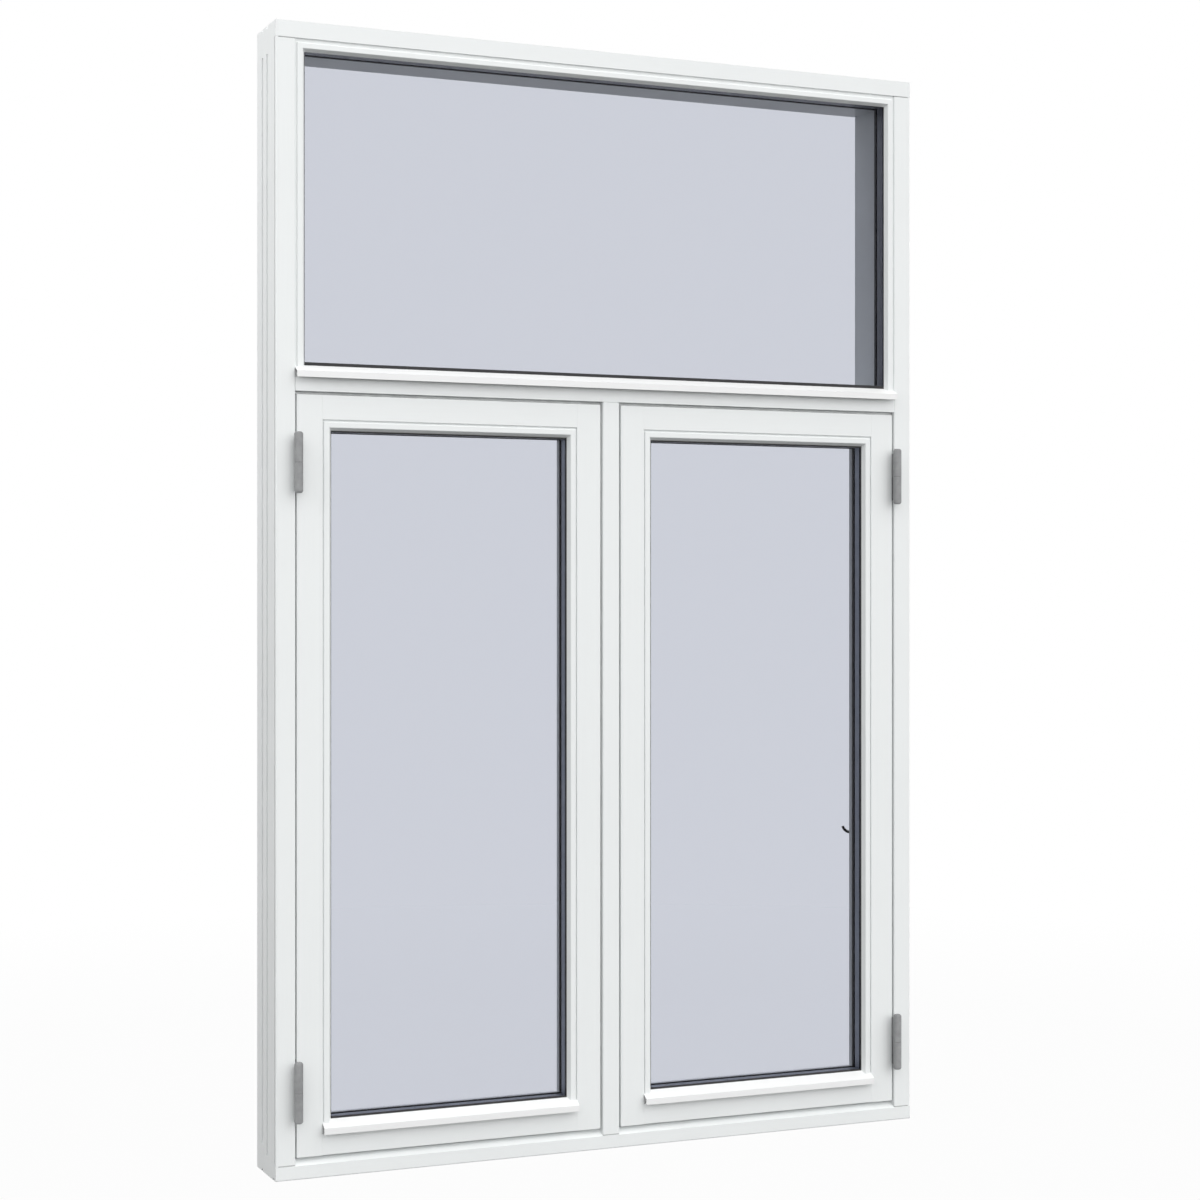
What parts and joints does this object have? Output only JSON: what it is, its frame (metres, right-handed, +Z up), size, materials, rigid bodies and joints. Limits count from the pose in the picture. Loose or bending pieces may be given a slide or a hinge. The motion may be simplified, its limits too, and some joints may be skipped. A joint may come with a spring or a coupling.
{
  "type": "casement window with top light",
  "caption": "Outward-opening double casement window with a fixed light above a transom, double glazed, in a white painted timber frame with drip beads and barrel hinges.",
  "frame": {"origin": "middle of the sill's underside, where the window stands in its wall opening, halfway through the frame's depth", "axes": "+Z up, +X to the right seen from outside, -Y outwards through the front"},
  "size_m": [1.188, 0.1362, 1.888],
  "materials": {
    "painted_timber": "white opaque paint, satin, over fine-grained timber",
    "glass": "clear float glass, slightly blue-grey",
    "spacer": "matt mill aluminium spacer between the panes",
    "gasket": "black glazing rubber",
    "opening_seal": "grey tube seal",
    "drip_bead": "white powder coat on an aluminium extrusion, slightly glossy",
    "hinge": "dull grey zinc with a galvanised bloom",
    "handle": "satin steel",
    "stay_hook": "dark browned steel rod"
  },
  "bodies": {
    "root": {"frame_head": "painted_timber", "frame_jamb_left": "painted_timber", "frame_jamb_right": "painted_timber", "frame_mullion": "painted_timber", "frame_sill": "painted_timber", "frame_transom": "painted_timber", "left_casement_bottom_rail": "painted_timber", "left_casement_drip_bead": "drip_bead", "left_casement_gaskets": "gasket", "left_casement_glass": "glass", "left_casement_handle": "handle", "left_casement_hinge_bead": "painted_timber", "left_casement_hinge_halves": "hinge", "left_casement_hinge_stile": "painted_timber", "left_casement_lock_bead": "painted_timber", "left_casement_lock_stile": "painted_timber", "left_casement_spacer": "spacer", "left_casement_top_bead": "painted_timber", "left_casement_top_rail": "painted_timber", "left_frame_hinge_halves": "hinge", "left_opening_seal": "opening_seal", "right_casement_bottom_rail": "painted_timber", "right_casement_drip_bead": "drip_bead", "right_casement_gaskets": "gasket", "right_casement_glass": "glass", "right_casement_handle": "handle", "right_casement_hinge_bead": "painted_timber", "right_casement_hinge_halves": "hinge", "right_casement_hinge_stile": "painted_timber", "right_casement_lock_bead": "painted_timber", "right_casement_lock_stile": "painted_timber", "right_casement_spacer": "spacer", "right_casement_stay_hook": "stay_hook", "right_casement_top_bead": "painted_timber", "right_casement_top_rail": "painted_timber", "right_frame_hinge_halves": "hinge", "right_opening_seal": "opening_seal", "top_light_drip_bead": "drip_bead", "top_light_gaskets": "gasket", "top_light_glass": "glass", "top_light_head_bead": "painted_timber", "top_light_left_bead": "painted_timber", "top_light_right_bead": "painted_timber", "top_light_spacer": "spacer"}
  },
  "joints": []
}
